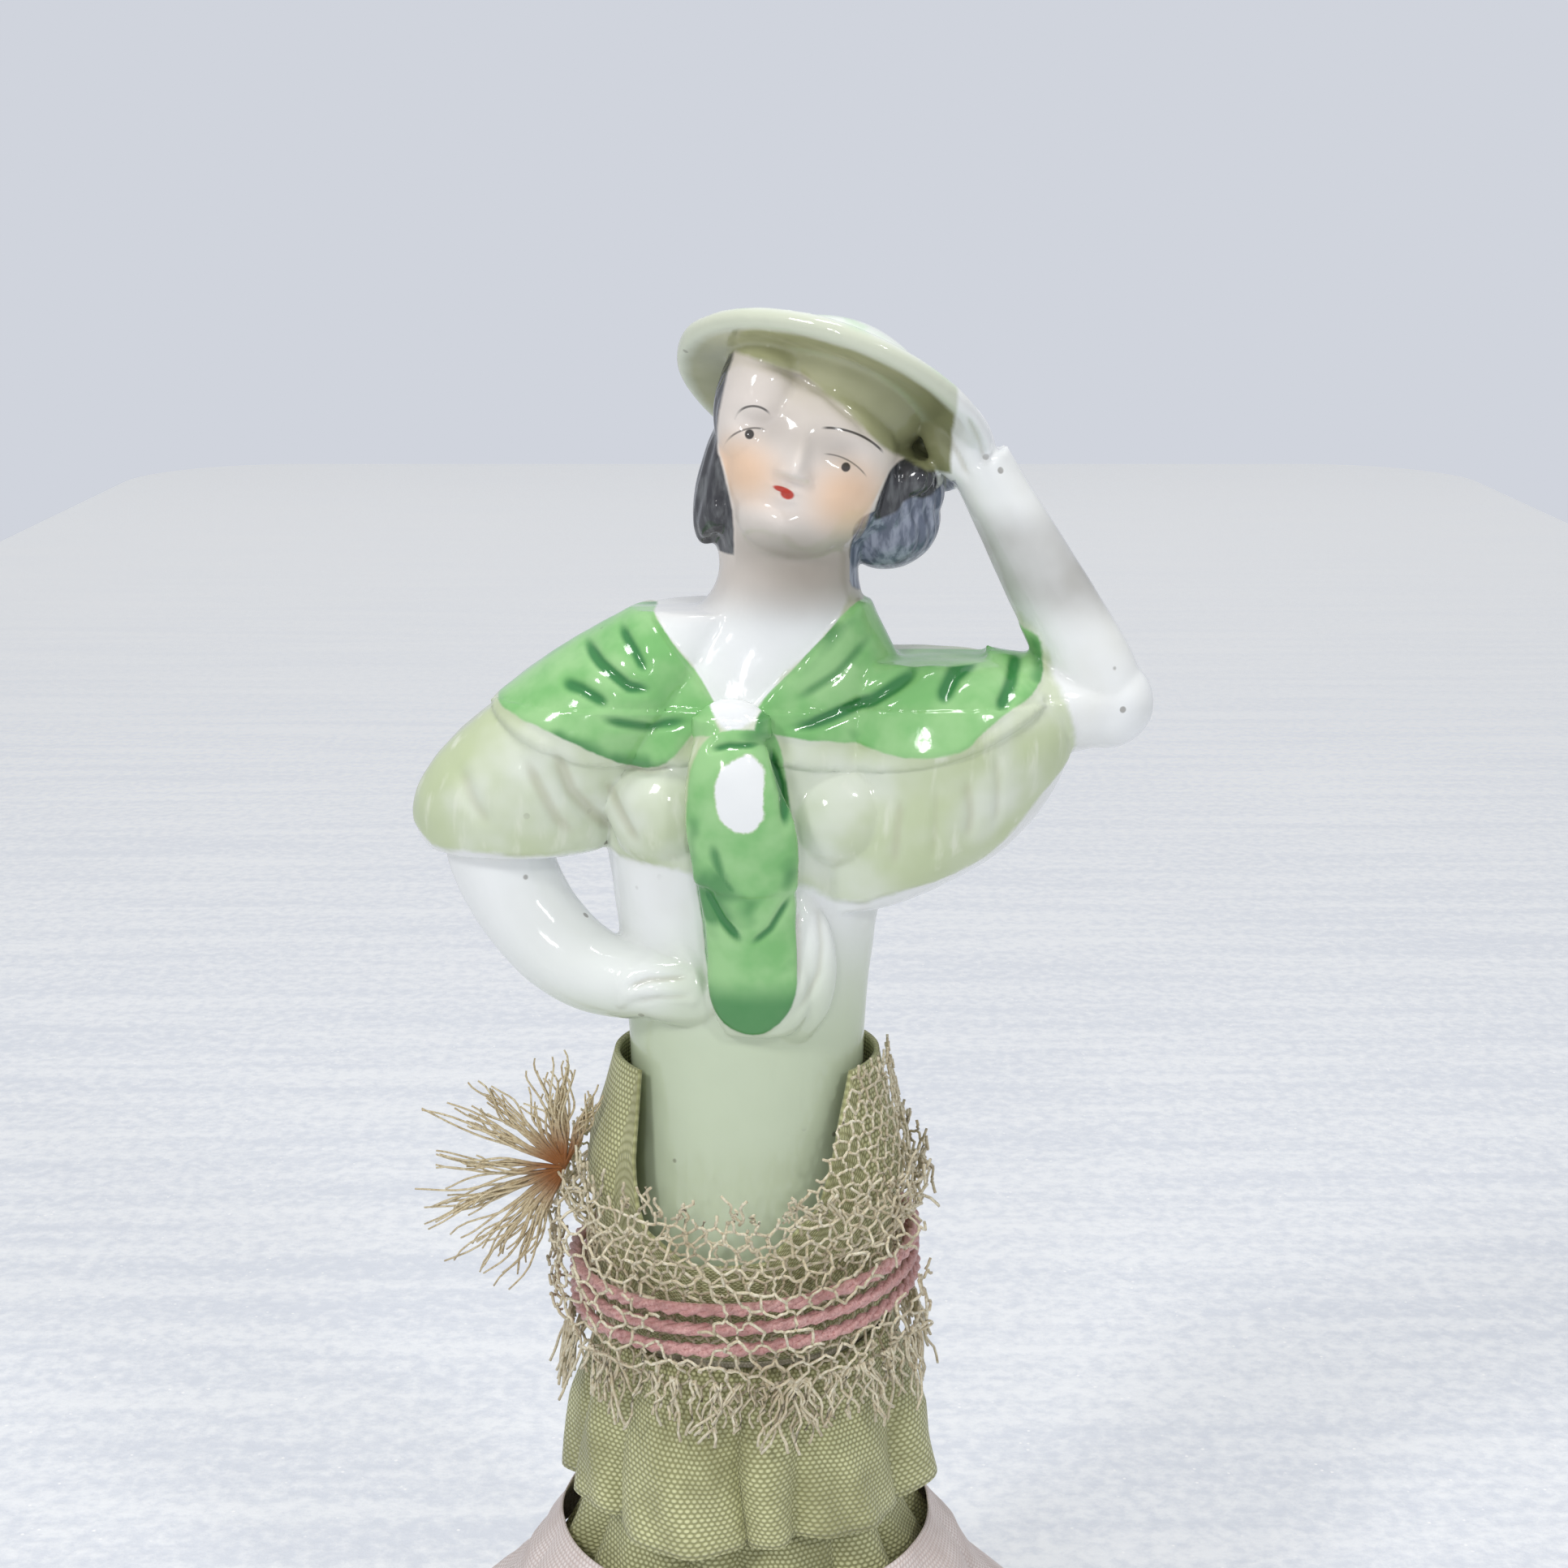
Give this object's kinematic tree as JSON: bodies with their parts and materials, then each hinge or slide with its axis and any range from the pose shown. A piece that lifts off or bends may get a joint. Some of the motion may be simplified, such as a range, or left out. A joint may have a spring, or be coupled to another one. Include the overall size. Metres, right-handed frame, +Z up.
{
  "type": "half-doll pin cushion",
  "caption": "Pin cushion: a glazed porcelain lady in a tipped hat, sewn on to a stuffed bell dressed in gathered ribbon tiers, net and a wound waist cord.",
  "frame": {"origin": "centre of the cushion's underside, on the surface that it stands on", "axes": "+Z up; the lady faces -Y; +X is towards her left hand, the one that holds the hat"},
  "size_m": [0.0763, 0.077, 0.1573],
  "materials": {
    "glazed_porcelain": "glossy glaze over painted colours",
    "wadding": "loose cotton wadding",
    "stuffing": "packed fibre stuffing",
    "lining_cotton": "plain woven cotton",
    "base_card": "uncoated card",
    "base_cloth": "plain woven cotton",
    "sewing_thread": "twisted cotton thread",
    "olive_ribbon": "aged rayon ribbon with a visible weave",
    "beige_net": "frayed knotted cotton net",
    "pink_cord": "loosely twisted floss",
    "pale_gauze": "sheer open gauze"
  },
  "bodies": {
    "root": {"half_doll": "glazed_porcelain", "neck_wadding": "wadding", "cushion_stuffing": "stuffing", "lining_bag": "lining_cotton", "base_card": "base_card", "base_cloth": "base_cloth", "base_stitches": "sewing_thread", "doll_stitch_1": "sewing_thread", "doll_stitch_2": "sewing_thread", "doll_stitch_3": "sewing_thread", "doll_stitch_4": "sewing_thread", "hip_ribbon": "olive_ribbon", "net_panel": "beige_net", "net_frill": "beige_net", "net_tuft": "beige_net", "waist_cord": "pink_cord", "cord_knot": "pink_cord", "ribbon_tier_1": "olive_ribbon", "ribbon_tier_2": "olive_ribbon", "ribbon_tier_3": "olive_ribbon", "ribbon_tier_4": "olive_ribbon", "gauze_underskirt": "pale_gauze"}
  },
  "joints": []
}
